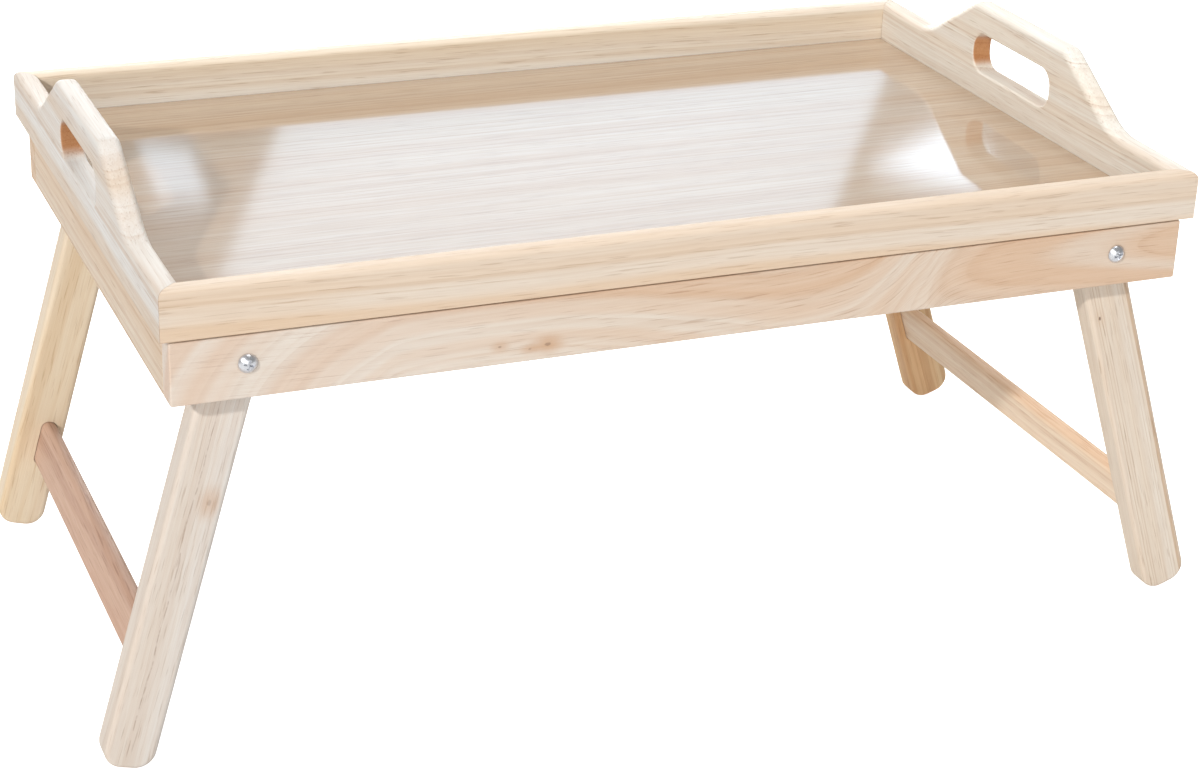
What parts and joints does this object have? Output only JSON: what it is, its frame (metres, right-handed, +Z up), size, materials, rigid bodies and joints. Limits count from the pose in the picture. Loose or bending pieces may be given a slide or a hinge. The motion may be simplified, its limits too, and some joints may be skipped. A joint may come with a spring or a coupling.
{
  "type": "folding tray table",
  "caption": "Shallow wooden bed tray with raised hand-slot ends, on an apron frame with two leg frames that fold flat underneath.",
  "frame": {"origin": "middle of the footprint, on the ground that the four feet stand on", "axes": "+X along the tray from the left handle to the right handle, +Y from front to back, +Z up"},
  "size_m": [0.5616, 0.3133, 0.2635],
  "materials": {
    "solid_wood": "bare, sanded pale softwood",
    "floor_panel": "clear satin lacquer on a pale veneer",
    "hardware": "bright zinc"
  },
  "bodies": {
    "tray": {"front_board": "solid_wood", "back_board": "solid_wood", "left_handle_board": "solid_wood", "right_handle_board": "solid_wood", "tray_floor": "floor_panel", "front_apron": "solid_wood", "back_apron": "solid_wood", "left_rail": "solid_wood", "right_rail": "solid_wood", "mitre_brads": "hardware", "floor_brads": "hardware", "apron_brads": "hardware"},
    "left_legs": {"front_left_leg": "solid_wood", "back_left_leg": "solid_wood", "left_stretcher": "solid_wood", "front_left_pivot_screw": "hardware", "back_left_pivot_screw": "hardware", "front_left_washer": "hardware", "back_left_washer": "hardware", "left_stretcher_brads": "hardware"},
    "right_legs": {"front_right_leg": "solid_wood", "back_right_leg": "solid_wood", "right_stretcher": "solid_wood", "front_right_pivot_screw": "hardware", "back_right_pivot_screw": "hardware", "front_right_washer": "hardware", "back_right_washer": "hardware", "right_stretcher_brads": "hardware"}
  },
  "joints": [
    {"name": "left_leg_fold", "type": "hinge", "parent": "tray", "child": "left_legs", "pos_m": [-0.21594, 0.0007, 0.1975], "axis": [0, -1, 0], "range_deg": [0, 105.77]},
    {"name": "right_leg_fold", "type": "hinge", "parent": "tray", "child": "right_legs", "pos_m": [0.20646, 0.0007, 0.1975], "axis": [0, 1, 0], "range_deg": [0, 108.44]}
  ]
}
